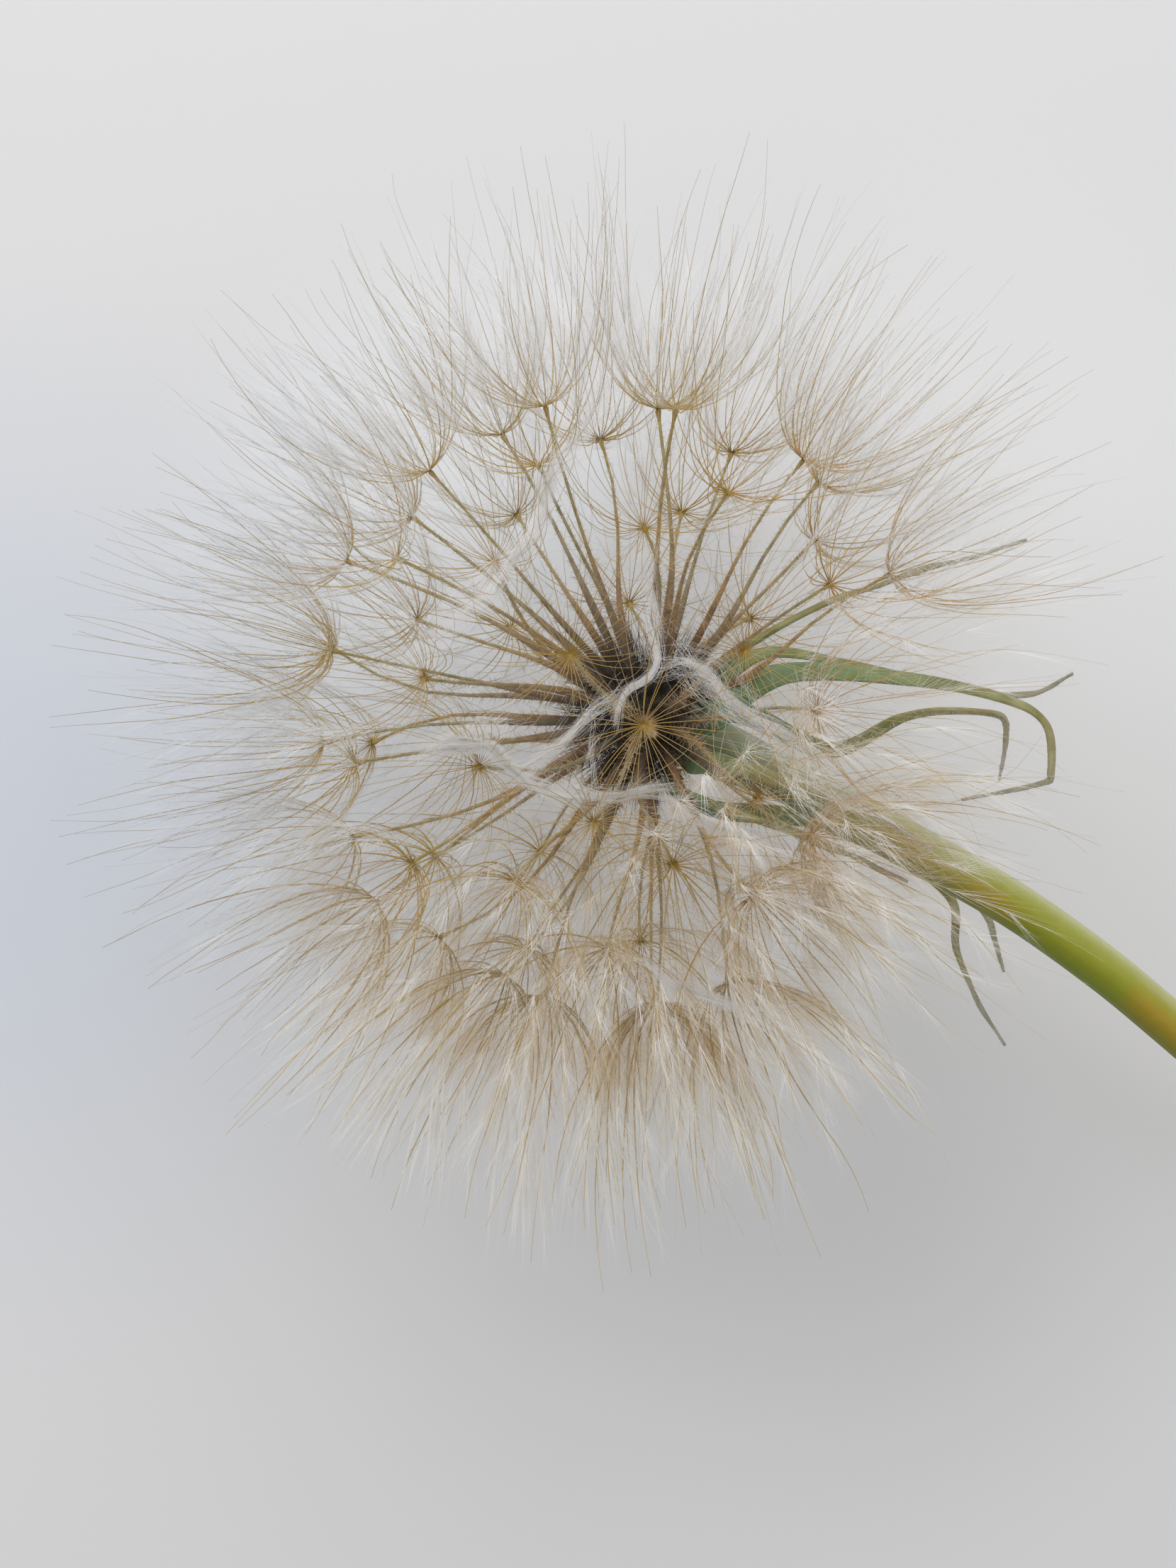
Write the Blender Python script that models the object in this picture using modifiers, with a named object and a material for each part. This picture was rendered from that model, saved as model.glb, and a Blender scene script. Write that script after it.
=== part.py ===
"""A ripe goat's-beard seed head, cut with a length of its stem and lying on a surface.

The head rests on the tips of its lower parachutes and the stem on its cut end.
Metres, Z up. The origin is under the middle of the whole part, on the surface.
"""
import math

import bmesh
import bpy
import numpy as np
from mathutils import Matrix, Vector

MM = 0.001

# Where the head lies
HEAD_CENTRE = Vector((-0.02902, 0.01181, 0.0490))
AXIS_HEADING = math.radians(158)
AXIS_RISE = math.radians(15)

# The receptacle, measured from the head's centre down its axis
DOME_DEPTH = 3.0 * MM
DOME_RADIUS = 4.6 * MM
DOME_HALF_HEIGHT = 4.8 * MM
DOME_FLAT = 6.6 * MM
DOME_SIDES = 14
DOME_RINGS = 10
STEM_TOP = 8.05 * MM
BRACT_DEPTH = 7.25 * MM

# Seeds and their parachutes
SEEDS = 60
SHAFT_SIDES = 6
CAP_EDGE = math.radians(120)
HUB_DISTANCE = 32.5 * MM
HUB_JITTER = 0.9 * MM
ROOT_DISTANCE = 3.4 * MM
# Distance from the dome's middle and radius of each ring of the body and beak
SHAFT_RINGS = ((8.0, 0.72), (13.0, 0.66), (17.5, 0.34))
ROOT_RADIUS = 0.42 * MM
BEAK_TOP_RADIUS = 0.34 * MM
HUB_RADIUS = 0.72 * MM
HUB_HEIGHT = 0.7 * MM
HUB_CAP = 0.35 * MM
HUB_CAP_SCALE = 0.5
ELBOW_SLOPE = 0.72
ELBOW_SHARE = 0.74
ELBOW_SCALE = 0.62
WIDEST_SPREAD = math.radians(14)
CELL_MARGIN = math.radians(1.3)
TIP_DISTANCE = 56.5 * MM
TIP_JITTER = 3.0 * MM
SEED_OF_DRAWS = 41

# Hubs of the parachutes that face up, right and away from the head's centre, in mm
FACING_HUBS = (
    (-13.1, 13.9), (1.8, 17.5), (-5.5, 4.5), (11.3, 4.8), (1.6, -2.4), (-14.6, -6.4), (-3.2, -11.6),
    (4.7, -16.4), (-11.0, -18.2), (-21.2, -15.8), (-22.6, 14.4), (-29.3, 5.4), (-20.1, 2.4), (-27.1, -5.9),
    (-8.5, 23.3), (10.1, 20.7), (20.5, 11.9), (18.3, -0.8), (13.0, -9.6), (-1.8, -24.2), (12.4, -18.8),
    (10.4, -28.0), (2.9, -31.4), (18.6, -13.4),
)
RELAX_STEPS = 80
RELAX_RATE = 0.004
RELAX_LIMIT = math.radians(2)

# The stem's middle line from the head's centre, in mm, and its radii
STEM_ROUTE = (
    (20.5, -9.2, -5.8), (34.9, -16.85, -10.8), (43.9, -22.0, -15.2), (53.3, -28.5, -20.0), (61.0, -34.55, -24.8),
    (72.0, -43.6, -32.0), (82.0, -52.0, -38.2), (91.0, -59.8, -42.9), (99.0, -66.5, -45.8),
    (107.0, -73.2, -46.75), (114.0, -79.0, -46.75),
)
STEM_POINTS = 34
STEM_CURVE_RESOLUTION = 4
STEM_RADIUS = 2.5 * MM
FOOT_RADIUS = 2.65 * MM
FOOT_DISTANCE = 95.0 * MM
FLARE_RADIUS = 3.3 * MM
FLARE_LENGTH = 11.0 * MM
STEM_STRAIGHT = 5.0 * MM

# Bracts
BRACTS = 8
BRACT_ROOT_OUT = 3.8 * MM
BRACT_BEND_OUT = 6.2 * MM
BRACT_BEND_DROP = 0.5 * MM
BRACT_FIRST_TURN = math.radians(20)
BRACT_THICKNESS = 0.65 * MM
BRACT_KEEL = 0.14
BRACT_STATIONS = 15
BRACT_SEARCH_STEPS = 60
# Distance along the bract as a share of its length, and its width there in mm
BRACT_WIDTHS = ((0.0, 2.1), (0.14, 3.0), (0.4, 2.5), (0.66, 1.4), (0.85, 0.9), (1.0, 0.65))
# Each bract's middle line past its root bend, from the head's centre, in mm
BRACT_ROUTES = (
    ((16.5, 3.4, 5.0), (30.0, 2.9, 3.0), (40.2, 0.9, 0.2), (44.7, -1.7, -1.4), (45.5, -6.8, -2.4), (44.3, -8.1, -2.6),
     (36.0, -9.8, -3.0)),
    ((15.0, 5.7, 1.6), (24.0, 4.5, -0.2), (34.5, 2.3, -2.8), (42.8, 1.3, -4.4), (48.2, 3.7, -5.2)),
    ((14.0, 7.0, -4.0), (22.0, 11.2, -3.6), (32.0, 14.6, -3.0), (43.0, 17.8, -3.0)),
    ((13.5, -0.6, -10.5), (22.7, -4.4, -14.0), (30.6, -0.9, -14.5), (36.5, -0.1, -15.5), (41.6, -0.7, -16.4),
     (42.3, -3.2, -17.0), (41.6, -7.8, -17.5)),
    ((12.0, -6.8, -12.8), (24.8, -12.0, -17.6), (34.5, -17.5, -22.8), (40.6, -22.0, -26.2), (42.3, -26.0, -27.8),
     (43.4, -29.4, -29.0)),
    ((9.6, -10.8, -8.2), (20.5, -12.0, -13.0), (30.6, -16.2, -16.4), (36.6, -20.9, -20.0), (37.4, -26.6, -22.4),
     (39.8, -32.0, -24.4), (43.2, -37.6, -26.5)),
    ((9.5, -10.2, -1.6), (18.6, -13.4, -4.2), (26.5, -16.6, -9.0), (31.0, -18.8, -12.4)),
    ((10.8, -6.0, 1.8), (18.0, -8.2, 0.6), (26.6, -11.2, -2.4), (33.0, -15.0, -6.0)),
)


def axis_frame():
    """The head's axis towards the pole, the way across it that points most nearly up, and its side."""
    level = math.cos(AXIS_RISE)
    pole = Vector((level * math.cos(AXIS_HEADING), level * math.sin(AXIS_HEADING), math.sin(AXIS_RISE)))
    above = (Vector((0, 0, 1)) - pole * pole.z).normalized()
    side = pole.cross(above).normalized()
    return pole, above, side


POLE, ABOVE, SIDE = axis_frame()
DOME_CENTRE = HEAD_CENTRE - POLE * DOME_DEPTH


def plain_material(name, colour, roughness):
    """A Principled material of one colour."""
    material = bpy.data.materials.new(name)
    material.use_nodes = True
    shader = material.node_tree.nodes["Principled BSDF"]
    shader.inputs["Base Color"].default_value = (*colour, 1.0)
    shader.inputs["Roughness"].default_value = roughness
    return material


def finish_object(name, mesh, material, collection):
    """Put a mesh in the scene as a named object with its material."""
    thing = bpy.data.objects.new(name, mesh)
    mesh.materials.clear()
    mesh.materials.append(material)
    collection.objects.link(thing)
    return thing


def mesh_from(bm, name):
    """Turn a bmesh into a mesh whose faces point out."""
    bmesh.ops.recalc_face_normals(bm, faces=bm.faces)
    mesh = bpy.data.meshes.new(name)
    bm.to_mesh(mesh)
    bm.free()
    return mesh


def turned_to(direction, place):
    """The matrix that stands a shape's Z axis along a direction, at a place."""
    return Matrix.Translation(place) @ direction.to_track_quat("Z", "Y").to_matrix().to_4x4()


def smooth_route(points, count):
    """Evenly numbered points on a smooth curve through the given ones."""
    ends = [points[0] * 2 - points[1]] + list(points) + [points[-1] * 2 - points[-2]]
    route = []
    for step in range(count):
        place = step / (count - 1) * (len(points) - 1)
        span = min(int(place), len(points) - 2)
        t = place - span
        before, start, end, after = ends[span:span + 4]
        bend = (before * 2 - start * 5 + end * 4 - after) * t * t
        twist = (start * 3 - before - end * 3 + after) * t * t * t
        route.append((start * 2 + (end - before) * t + bend + twist) / 2)
    return route


def value_along(table, share):
    """A value read from a short table of shares and values, joined by straight lines."""
    return float(np.interp(share, [row[0] for row in table], [row[1] for row in table]))


def facing_directions():
    """Directions of the parachutes that face up, on the sphere of hubs."""
    reach = HUB_DISTANCE / MM
    rows = [(x, y, math.sqrt(reach ** 2 - x ** 2 - y ** 2)) for x, y in FACING_HUBS]
    return np.array(rows) / reach


def spiral_directions():
    """A golden-angle spiral of directions from the pole to the edge of the cap."""
    turn = math.pi * (3 - math.sqrt(5))
    rows = []
    for number in range(SEEDS):
        rise = 1 - (number + 0.5) / SEEDS * (1 - math.cos(CAP_EDGE))
        out = math.sqrt(1 - rise ** 2)
        rows.append(POLE * rise + (ABOVE * math.cos(number * turn) + SIDE * math.sin(number * turn)) * out)
    return np.array(rows)


def bract_crossings():
    """Directions in which the bracts cross the sphere of hubs, so that the parachutes keep clear of them."""
    rows = []
    for route in BRACT_ROUTES:
        curve = smooth_route([Vector(point) * MM for point in route], BRACT_SEARCH_STEPS)
        nearest = min(curve, key=lambda point: abs(point.length - HUB_DISTANCE))
        rows.append(nearest.normalized())
    return np.array(rows)


def hub_directions():
    """Even directions over the cap: a spiral, with the facing hubs held and the others pushed evenly apart."""
    points = spiral_directions()
    free = np.ones(SEEDS, dtype=bool)
    for held in facing_directions():
        closeness = np.where(free, points @ held, -2)
        nearest = int(np.argmax(closeness))
        points[nearest] = held
        free[nearest] = False
    clear_of = bract_crossings()
    pole = np.array(POLE)
    for _ in range(RELAX_STEPS):
        others = np.vstack([points, clear_of])
        away = points[:, None, :] - others[None, :, :]
        gaps = np.linalg.norm(away, axis=2) + 1e-6
        push = (away / gaps[:, :, None] ** 4).sum(axis=1) * RELAX_RATE
        push -= (push * points).sum(axis=1, keepdims=True) * points
        size = np.linalg.norm(push, axis=1, keepdims=True) + 1e-9
        push *= np.minimum(1, RELAX_LIMIT / size)
        points[free] += push[free]
        points /= np.linalg.norm(points, axis=1, keepdims=True)
        low = free & (points @ pole < math.cos(CAP_EDGE))
        flat = points - (points @ pole)[:, None] * pole
        flat /= np.linalg.norm(flat, axis=1, keepdims=True)
        points[low] = (pole * math.cos(CAP_EDGE) + flat * math.sin(CAP_EDGE))[low]
    return points, clear_of


def widest_angle(direction, outward, others):
    """How far a bristle may lean from its seed's direction before it meets the neighbours' share of space."""
    widest = WIDEST_SPREAD
    for other in others:
        towards = outward.dot(other)
        apart = 1 - direction.dot(other)
        if towards > 0 and apart > 0:
            widest = min(widest, math.atan(apart / towards) - CELL_MARGIN)
    return widest


def on_surface(point):
    """A point pulled towards the head's centre until it is no lower than the surface."""
    if point.z >= 0:
        return point
    return HEAD_CENTRE + (point - HEAD_CENTRE) * (HEAD_CENTRE.z / (HEAD_CENTRE.z - point.z))


def pull_face(bm, face, centre, direction, size):
    """Extrude one face to a new centre and direction, and scale it."""
    turn = face.normal.rotation_difference(direction).to_matrix()
    face = bmesh.ops.extrude_discrete_faces(bm, faces=[face])["faces"][0]
    middle = face.calc_center_median()
    bmesh.ops.rotate(bm, verts=face.verts, cent=middle, matrix=turn)
    bmesh.ops.scale(bm, verts=face.verts, vec=Vector((size, size, size)), space=Matrix.Translation(-middle))
    bmesh.ops.translate(bm, verts=face.verts, vec=centre - middle)
    face.normal_update()
    return face


def grow_bristle(bm, face, hub, direction, others, draws):
    """One bristle: out sideways from the hub, then up and away from the head to a point."""
    outward = face.calc_center_median() - hub
    outward = (outward - direction * outward.dot(direction)).normalized()
    spread = widest_angle(direction, outward, others)
    lean = ELBOW_SHARE * spread
    tip_way = direction * math.cos(spread) + outward * math.sin(spread)
    elbow_out = (hub - HEAD_CENTRE).length * math.tan(lean) / (1 - ELBOW_SLOPE * math.tan(lean))
    elbow = hub + outward * elbow_out + direction * elbow_out * ELBOW_SLOPE
    tip = on_surface(HEAD_CENTRE + tip_way * (TIP_DISTANCE + TIP_JITTER * draws.uniform(-1, 1)))
    facing = ((elbow - hub).normalized() + (tip - elbow).normalized()).normalized()
    face = pull_face(bm, face, elbow, facing, ELBOW_SCALE)
    centre = bmesh.ops.poke(bm, faces=[face])["verts"][0]
    centre.co = tip


def grow_seed(direction, hub_distance, others, draws):
    """One seed from inside the dome: body, beak, hub and the bristles of its parachute."""
    hub = HEAD_CENTRE + direction * hub_distance
    shaft = hub - DOME_CENTRE
    length = shaft.length
    shaft.normalize()
    rings = [(distance * MM, radius * MM) for distance, radius in SHAFT_RINGS]
    rings.append((length - HUB_HEIGHT, BEAK_TOP_RADIUS))
    first_length, first_radius = rings[0]
    depth = first_length - ROOT_DISTANCE
    bm = bmesh.new()
    place = turned_to(shaft, DOME_CENTRE + shaft * (ROOT_DISTANCE + depth / 2))
    bmesh.ops.create_cone(bm, cap_ends=True, segments=SHAFT_SIDES, radius1=ROOT_RADIUS,
                          radius2=first_radius, depth=depth, matrix=place)
    bm.normal_update()
    top = max(bm.faces, key=lambda face: face.normal.dot(shaft))
    radius = first_radius
    for distance, next_radius in rings[1:]:
        top = pull_face(bm, top, DOME_CENTRE + shaft * distance, shaft, next_radius / radius)
        radius = next_radius
    before = set(bm.faces)
    top = pull_face(bm, top, hub, direction, HUB_RADIUS / radius)
    band = [face for face in bm.faces if face not in before and face is not top]
    pull_face(bm, top, hub + direction * HUB_CAP, direction, HUB_CAP_SCALE)
    bristle_roots = bmesh.ops.triangulate(bm, faces=band)["faces"]
    for face in bristle_roots:
        face.normal_update()
        grow_bristle(bm, face, hub, direction, others, draws)
    return bm


def build_seed_head(collection):
    """The dome and every seed, joined to one solid."""
    draws = np.random.default_rng(SEED_OF_DRAWS)
    bm = bmesh.new()
    bmesh.ops.create_uvsphere(bm, u_segments=DOME_SIDES, v_segments=DOME_RINGS, radius=DOME_RADIUS)
    for vert in bm.verts:
        vert.co.z = max(vert.co.z * DOME_HALF_HEIGHT / DOME_RADIUS, DOME_DEPTH - DOME_FLAT)
    bmesh.ops.remove_doubles(bm, verts=bm.verts, dist=1e-6)
    bmesh.ops.dissolve_limit(bm, angle_limit=math.radians(1), verts=bm.verts, edges=bm.edges)
    bm.transform(turned_to(POLE, DOME_CENTRE))
    material = plain_material("Seed head", (0.52, 0.42, 0.28), 0.8)
    head = finish_object("seed_head", mesh_from(bm, "seed_head"), material, collection)

    loose = bpy.data.collections.new("Seeds to join")
    bpy.context.scene.collection.children.link(loose)
    directions, clear_of = hub_directions()
    everyone = [Vector(row) for row in np.vstack([directions, clear_of])]
    hub_distances = HUB_DISTANCE + HUB_JITTER * draws.uniform(-1, 1, SEEDS)
    for number in range(SEEDS):
        others = everyone[:number] + everyone[number + 1:]
        seed = grow_seed(everyone[number], float(hub_distances[number]), others, draws)
        finish_object(f"seed_{number + 1}", mesh_from(seed, "seed"), material, loose)

    join = head.modifiers.new("Join", "BOOLEAN")
    join.operation = "UNION"
    join.operand_type = "COLLECTION"
    join.collection = loose
    join.solver = "EXACT"
    with bpy.context.temp_override(object=head, active_object=head, selected_objects=[head]):
        bpy.ops.object.modifier_apply(modifier=join.name)
    for piece in list(loose.objects):
        bpy.data.objects.remove(piece)
    bpy.data.collections.remove(loose)
    return head


def stem_route():
    """The stem's middle line, from under the dome to its cut end."""
    points = [HEAD_CENTRE - POLE * STEM_TOP, HEAD_CENTRE - POLE * (STEM_TOP + STEM_STRAIGHT)]
    points += [HEAD_CENTRE + Vector(point) * MM for point in STEM_ROUTE]
    return smooth_route(points, STEM_POINTS)


def build_stem(collection):
    """The stem: a tube that swells under the head, with a flat spot where it lies on the surface."""
    curve = bpy.data.curves.new("stem", "CURVE")
    curve.dimensions = "3D"
    curve.bevel_depth = STEM_RADIUS
    curve.bevel_resolution = STEM_CURVE_RESOLUTION
    curve.use_fill_caps = True
    route = stem_route()
    line = curve.splines.new("POLY")
    line.points.add(len(route) - 1)
    for point, place in zip(line.points, route):
        run = (place - route[0]).length
        swell = max(0.0, 1 - run / FLARE_LENGTH) ** 2
        growth = min(1.0, run / FOOT_DISTANCE)
        radius = STEM_RADIUS + (FLARE_RADIUS - STEM_RADIUS) * swell + (FOOT_RADIUS - STEM_RADIUS) * growth
        point.co = (*place, 1)
        point.radius = radius / STEM_RADIUS
    tube = bpy.data.objects.new("stem curve", curve)
    collection.objects.link(tube)
    seen = tube.evaluated_get(bpy.context.evaluated_depsgraph_get())
    mesh = bpy.data.meshes.new_from_object(seen)
    bpy.data.objects.remove(tube)
    bm = bmesh.new()
    bm.from_mesh(mesh)
    bmesh.ops.remove_doubles(bm, verts=bm.verts, dist=1e-6)
    everything = list(bm.verts) + list(bm.edges) + list(bm.faces)
    cut = bmesh.ops.bisect_plane(bm, geom=everything, plane_co=(0, 0, 0), plane_no=(0, 0, -1), clear_outer=True)
    rim = [piece for piece in cut["geom_cut"] if isinstance(piece, bmesh.types.BMEdge)]
    bmesh.ops.holes_fill(bm, edges=rim, sides=0)
    return finish_object("stem", mesh_from(bm, "stem"), plain_material("Stem", (0.36, 0.42, 0.10), 0.45), collection)


def bract_route(number):
    """A bract's middle line: out from under the dome, then along its own way beside the stem."""
    turn = BRACT_FIRST_TURN + number * 2 * math.pi / BRACTS
    out = ABOVE * math.cos(turn) + SIDE * math.sin(turn)
    ring = HEAD_CENTRE - POLE * BRACT_DEPTH
    points = [ring + out * BRACT_ROOT_OUT, ring + out * BRACT_BEND_OUT - POLE * BRACT_BEND_DROP]
    points += [HEAD_CENTRE + Vector(point) * MM for point in BRACT_ROUTES[number]]
    return smooth_route(points, BRACT_STATIONS)


def build_bract(number, material, collection):
    """A bract: a strip with a sunken midrib, given its thickness by Solidify."""
    route = bract_route(number)
    bm = bmesh.new()
    bmesh.ops.create_grid(bm, x_segments=2, y_segments=BRACT_STATIONS - 1, size=1)
    for vert in bm.verts:
        across = vert.co.x
        station = round((vert.co.y + 1) / 2 * (BRACT_STATIONS - 1))
        place = route[station]
        ahead = (route[min(station + 1, len(route) - 1)] - route[max(station - 1, 0)]).normalized()
        from_axis = place - HEAD_CENTRE
        from_axis -= POLE * from_axis.dot(POLE)
        face_out = POLE if station == 0 else from_axis
        face_out = (face_out - ahead * face_out.dot(ahead)).normalized()
        width = value_along(BRACT_WIDTHS, station / (BRACT_STATIONS - 1)) * MM
        sink = BRACT_KEEL * width * (1 - abs(across))
        vert.co = place + ahead.cross(face_out) * across * width / 2 - face_out * sink
    bract = finish_object(f"bract_{number + 1}", mesh_from(bm, "bract"), material, collection)
    bract.modifiers.new("Triangles", "TRIANGULATE")
    wall = bract.modifiers.new("Thickness", "SOLIDIFY")
    wall.thickness = BRACT_THICKNESS
    wall.offset = 0
    return bract


def main():
    """Clear the scene and build the part."""
    for thing in list(bpy.data.objects):
        bpy.data.objects.remove(thing)
    collection = bpy.data.collections.new("Goats-beard seed head")
    bpy.context.scene.collection.children.link(collection)
    build_seed_head(collection)
    build_stem(collection)
    leaf = plain_material("Bract", (0.24, 0.33, 0.15), 0.6)
    for number in range(BRACTS):
        build_bract(number, leaf, collection)


main()
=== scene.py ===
"""The look of a ripe goat's-beard seed head, lying on a pale surface and seen from above."""
import math

import bmesh
import bpy
import numpy as np
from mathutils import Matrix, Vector


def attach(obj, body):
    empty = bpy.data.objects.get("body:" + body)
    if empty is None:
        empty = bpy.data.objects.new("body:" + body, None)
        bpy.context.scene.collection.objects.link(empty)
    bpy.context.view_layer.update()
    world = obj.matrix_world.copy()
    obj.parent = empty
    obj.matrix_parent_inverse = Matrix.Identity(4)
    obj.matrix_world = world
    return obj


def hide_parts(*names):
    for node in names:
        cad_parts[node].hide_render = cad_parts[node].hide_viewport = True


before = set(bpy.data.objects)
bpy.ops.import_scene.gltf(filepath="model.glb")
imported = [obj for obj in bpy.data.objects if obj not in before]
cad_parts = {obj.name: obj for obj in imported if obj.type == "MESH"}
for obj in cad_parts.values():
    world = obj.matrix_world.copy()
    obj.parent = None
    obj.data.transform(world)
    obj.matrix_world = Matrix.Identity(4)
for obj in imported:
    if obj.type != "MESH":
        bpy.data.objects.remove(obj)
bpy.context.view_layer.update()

MM = 0.001

# The head, as the construction has it
HEAD_CENTRE = Vector((-0.02902, 0.01181, 0.0490))
AXIS_HEADING = math.radians(158)
AXIS_RISE = math.radians(15)
DOME_DEPTH = 3.0 * MM
DOME_RADIUS = 4.6 * MM
DOME_HALF_HEIGHT = 4.8 * MM
DOME_FLAT = 6.6 * MM
STEM_TOP = 8.05 * MM
BRACT_DEPTH = 7.25 * MM
# The dome's grain: waves a metre, in radians, and their height as a share of its size
GRAIN_PACE = 5200
GRAIN_HEIGHT = 0.02
# The seeds' hubs, in a cap of the ball round the head's centre. Those that face the camera are in mm from it.
SEEDS = 60
CAP_EDGE = math.radians(120)
HUB_DISTANCE = 32.5 * MM
HUB_JITTER = 0.9 * MM
ROOT_DISTANCE = 3.9 * MM
SEED_OF_DRAWS = 41
FACING_HUBS = (
    (-13.1, 13.9), (1.8, 17.5), (-5.5, 4.5), (11.3, 4.8), (1.6, -2.4), (-14.6, -6.4), (-3.2, -11.6),
    (4.7, -16.4), (-11.0, -18.2), (-21.2, -15.8), (-22.6, 14.4), (-29.3, 5.4), (-20.1, 2.4), (-27.1, -5.9),
    (-8.5, 23.3), (10.1, 20.7), (20.5, 11.9), (18.3, -0.8), (13.0, -9.6), (-1.8, -24.2), (12.4, -18.8),
    (10.4, -28.0), (2.9, -31.4), (18.6, -13.4),
)
# How the other hubs are pushed apart, step by step
RELAX_STEPS = 80
RELAX_RATE = 0.004
RELAX_LIMIT = math.radians(2)
# The stem's middle line in mm from the head's centre, and its radii
STEM_ROUTE = (
    (20.5, -9.2, -5.8), (34.9, -16.85, -10.8), (43.9, -22.0, -15.2), (53.3, -28.5, -20.0),
    (61.0, -34.55, -24.8), (72.0, -43.6, -32.0), (82.0, -52.0, -38.2), (91.0, -59.8, -42.9),
    (99.0, -66.5, -45.8), (107.0, -73.2, -46.75), (114.0, -79.0, -46.75),
)
STEM_STRAIGHT = 5.0 * MM
STEM_RADIUS = 2.5 * MM
FOOT_RADIUS = 2.65 * MM
FOOT_DISTANCE = 95.0 * MM
FLARE_RADIUS = 3.3 * MM
FLARE_LENGTH = 11.0 * MM
STEM_STEPS = 120
STEM_SIDES = 48
STEM_CUTS = 90
STEM_RIDGES = 16
RIDGE_DEPTH = 0.015
# Its cut end, on a stem one unit wide and long: skin, wall and how deep the pale hollow is
CUT_RIM = 0.22
CUT_WALL = 0.16
CUT_DEPTH = 0.012
# The bracts, and how their roots stand round the dome's underside
BRACTS = 8
BRACT_ROOT_OUT = 3.8 * MM
BRACT_BEND_OUT = 6.2 * MM
BRACT_BEND_DROP = 0.5 * MM
BRACT_FIRST_TURN = math.radians(20)
# Shares of a bract's length, and its width there in mm
BRACT_WIDTHS = (
    (0.0, 2.1), (0.14, 3.0), (0.28, 2.6), (0.42, 1.8), (0.6, 1.3), (0.72, 1.05), (0.82, 0.72), (0.93, 0.5),
    (1.0, 0.25),
)
# Each bract's middle line, in mm from the head's centre
BRACT_ROUTES = (
    ((16.5, 3.4, 5.0), (30.0, 2.9, 3.0), (40.2, 0.9, 0.2), (44.7, -1.7, -1.4), (45.5, -6.8, -2.4),
     (44.3, -8.1, -2.6), (36.0, -9.8, -3.0)),
    ((15.0, 5.7, 1.6), (24.0, 4.5, -0.2), (34.5, 2.3, -2.8), (42.8, 1.3, -4.4), (48.2, 3.7, -5.2)),
    ((14.0, 7.0, -4.0), (22.0, 11.2, -3.6), (32.0, 14.6, -3.0), (43.0, 17.8, -3.0)),
    ((13.5, -0.6, -10.5), (22.7, -4.4, -14.0), (30.6, -0.9, -14.5), (36.5, -0.1, -15.5), (41.6, -0.7, -16.4),
     (42.3, -3.2, -17.0), (41.6, -7.8, -17.5)),
    ((12.0, -6.8, -12.8), (24.8, -12.0, -17.6), (34.5, -17.5, -22.8), (40.6, -22.0, -26.2),
     (42.3, -26.0, -27.8), (43.4, -29.4, -29.0)),
    ((9.6, -10.8, -8.2), (20.5, -12.0, -13.0), (30.6, -16.2, -16.4), (36.6, -20.9, -20.0),
     (37.4, -26.6, -22.4), (39.8, -32.0, -24.4), (43.2, -37.6, -26.5)),
    ((9.5, -10.2, -1.6), (18.6, -13.4, -4.2), (26.5, -16.6, -9.0), (31.0, -18.8, -12.4)),
    ((10.8, -6.0, 1.8), (18.0, -8.2, 0.6), (26.6, -11.2, -2.4), (33.0, -15.0, -6.0)),
)
# Steps of that line, and of the coarser one that keeps hubs clear of the bract, then cuts along and across
BRACT_STEPS = 80
CLEARANCE_STEPS = 60
BRACT_LENGTH_CUTS = 70
BRACT_STRIP_CUTS = 13
BRACT_THICKNESS = 0.28 * MM
VEIN_HEIGHT = 0.045 * MM
WITHERED_FROM = 0.55
BRACT_HAIRS = 540
BRACT_HAIR_RADIUS = 0.020 * MM
BRACT_HAIR_SPAN = 45 * MM

# The photograph: metres for a pixel at the head's centre, its size and that centre in pixels, and the camera
PHOTO_SCALE = 0.075 * MM
PHOTO_SIZE = (1659, 2212)
PHOTO_HEAD = (880, 998)
CAMERA_DISTANCE = 0.40
SENSOR_WIDTH = 36.0
# How far the photograph's middle lies to the right of the head's centre, and below it
PHOTO_ASIDE = (PHOTO_SIZE[0] / 2 - PHOTO_HEAD[0]) * PHOTO_SCALE
PHOTO_BELOW = (PHOTO_SIZE[1] / 2 - PHOTO_HEAD[1]) * PHOTO_SCALE

# Parachutes: those that face the camera have more bristles, and some of these are swept back to one side
BRISTLES = 24
STAR_BRISTLES = 14
SWEEP = np.array((0.85, -0.52, 0.0))
BRISTLE_LENGTH = 28.5 * MM
BRISTLE_BASE = 0.068 * MM
BRISTLE_TIP = 0.018 * MM
BRISTLE_CUTS = 11
BRISTLE_KINDS = 14
# A bristle's waves all along, its kinks in the outer half, its drift to one side, and the share of short ones
BRISTLE_WAVE = 0.026
BRISTLE_KINK = 0.22
BRISTLE_DRIFT = 0.015
SHORT_SHARE = 0.62
SHORT_SIZES = (0.70, 0.98)
LONG_SIZES = (0.98, 1.16)
# A bristle's rise from the plane across its seed, in degrees: at the hub, and at the tip
HUB_RISE = (2, 20)
TIP_RISE = (64, 87)
TURN_SHARE = (0.17, 0.32)
# Side hairs: a web near the hub and plumes further out, each with its start and span along the bristle
WEB_HAIRS = 30
WEB_START = 0.07
WEB_SPAN = 0.36
WEB_SIZES = (0.7, 1.25)
WEB_LIFT = (0.35, 1.0)
PLUME_TUFTS = 9
PLUME_HAIRS = 6
PLUME_START = 0.24
PLUME_SPAN = 0.44
PLUME_SIZES = (0.6, 1.15)
PLUME_LIFT = (1.02, 1.42)
SIDE_HAIR_LENGTH = 7.6 * MM
SIDE_HAIR_RADIUS = 0.0215 * MM
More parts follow.
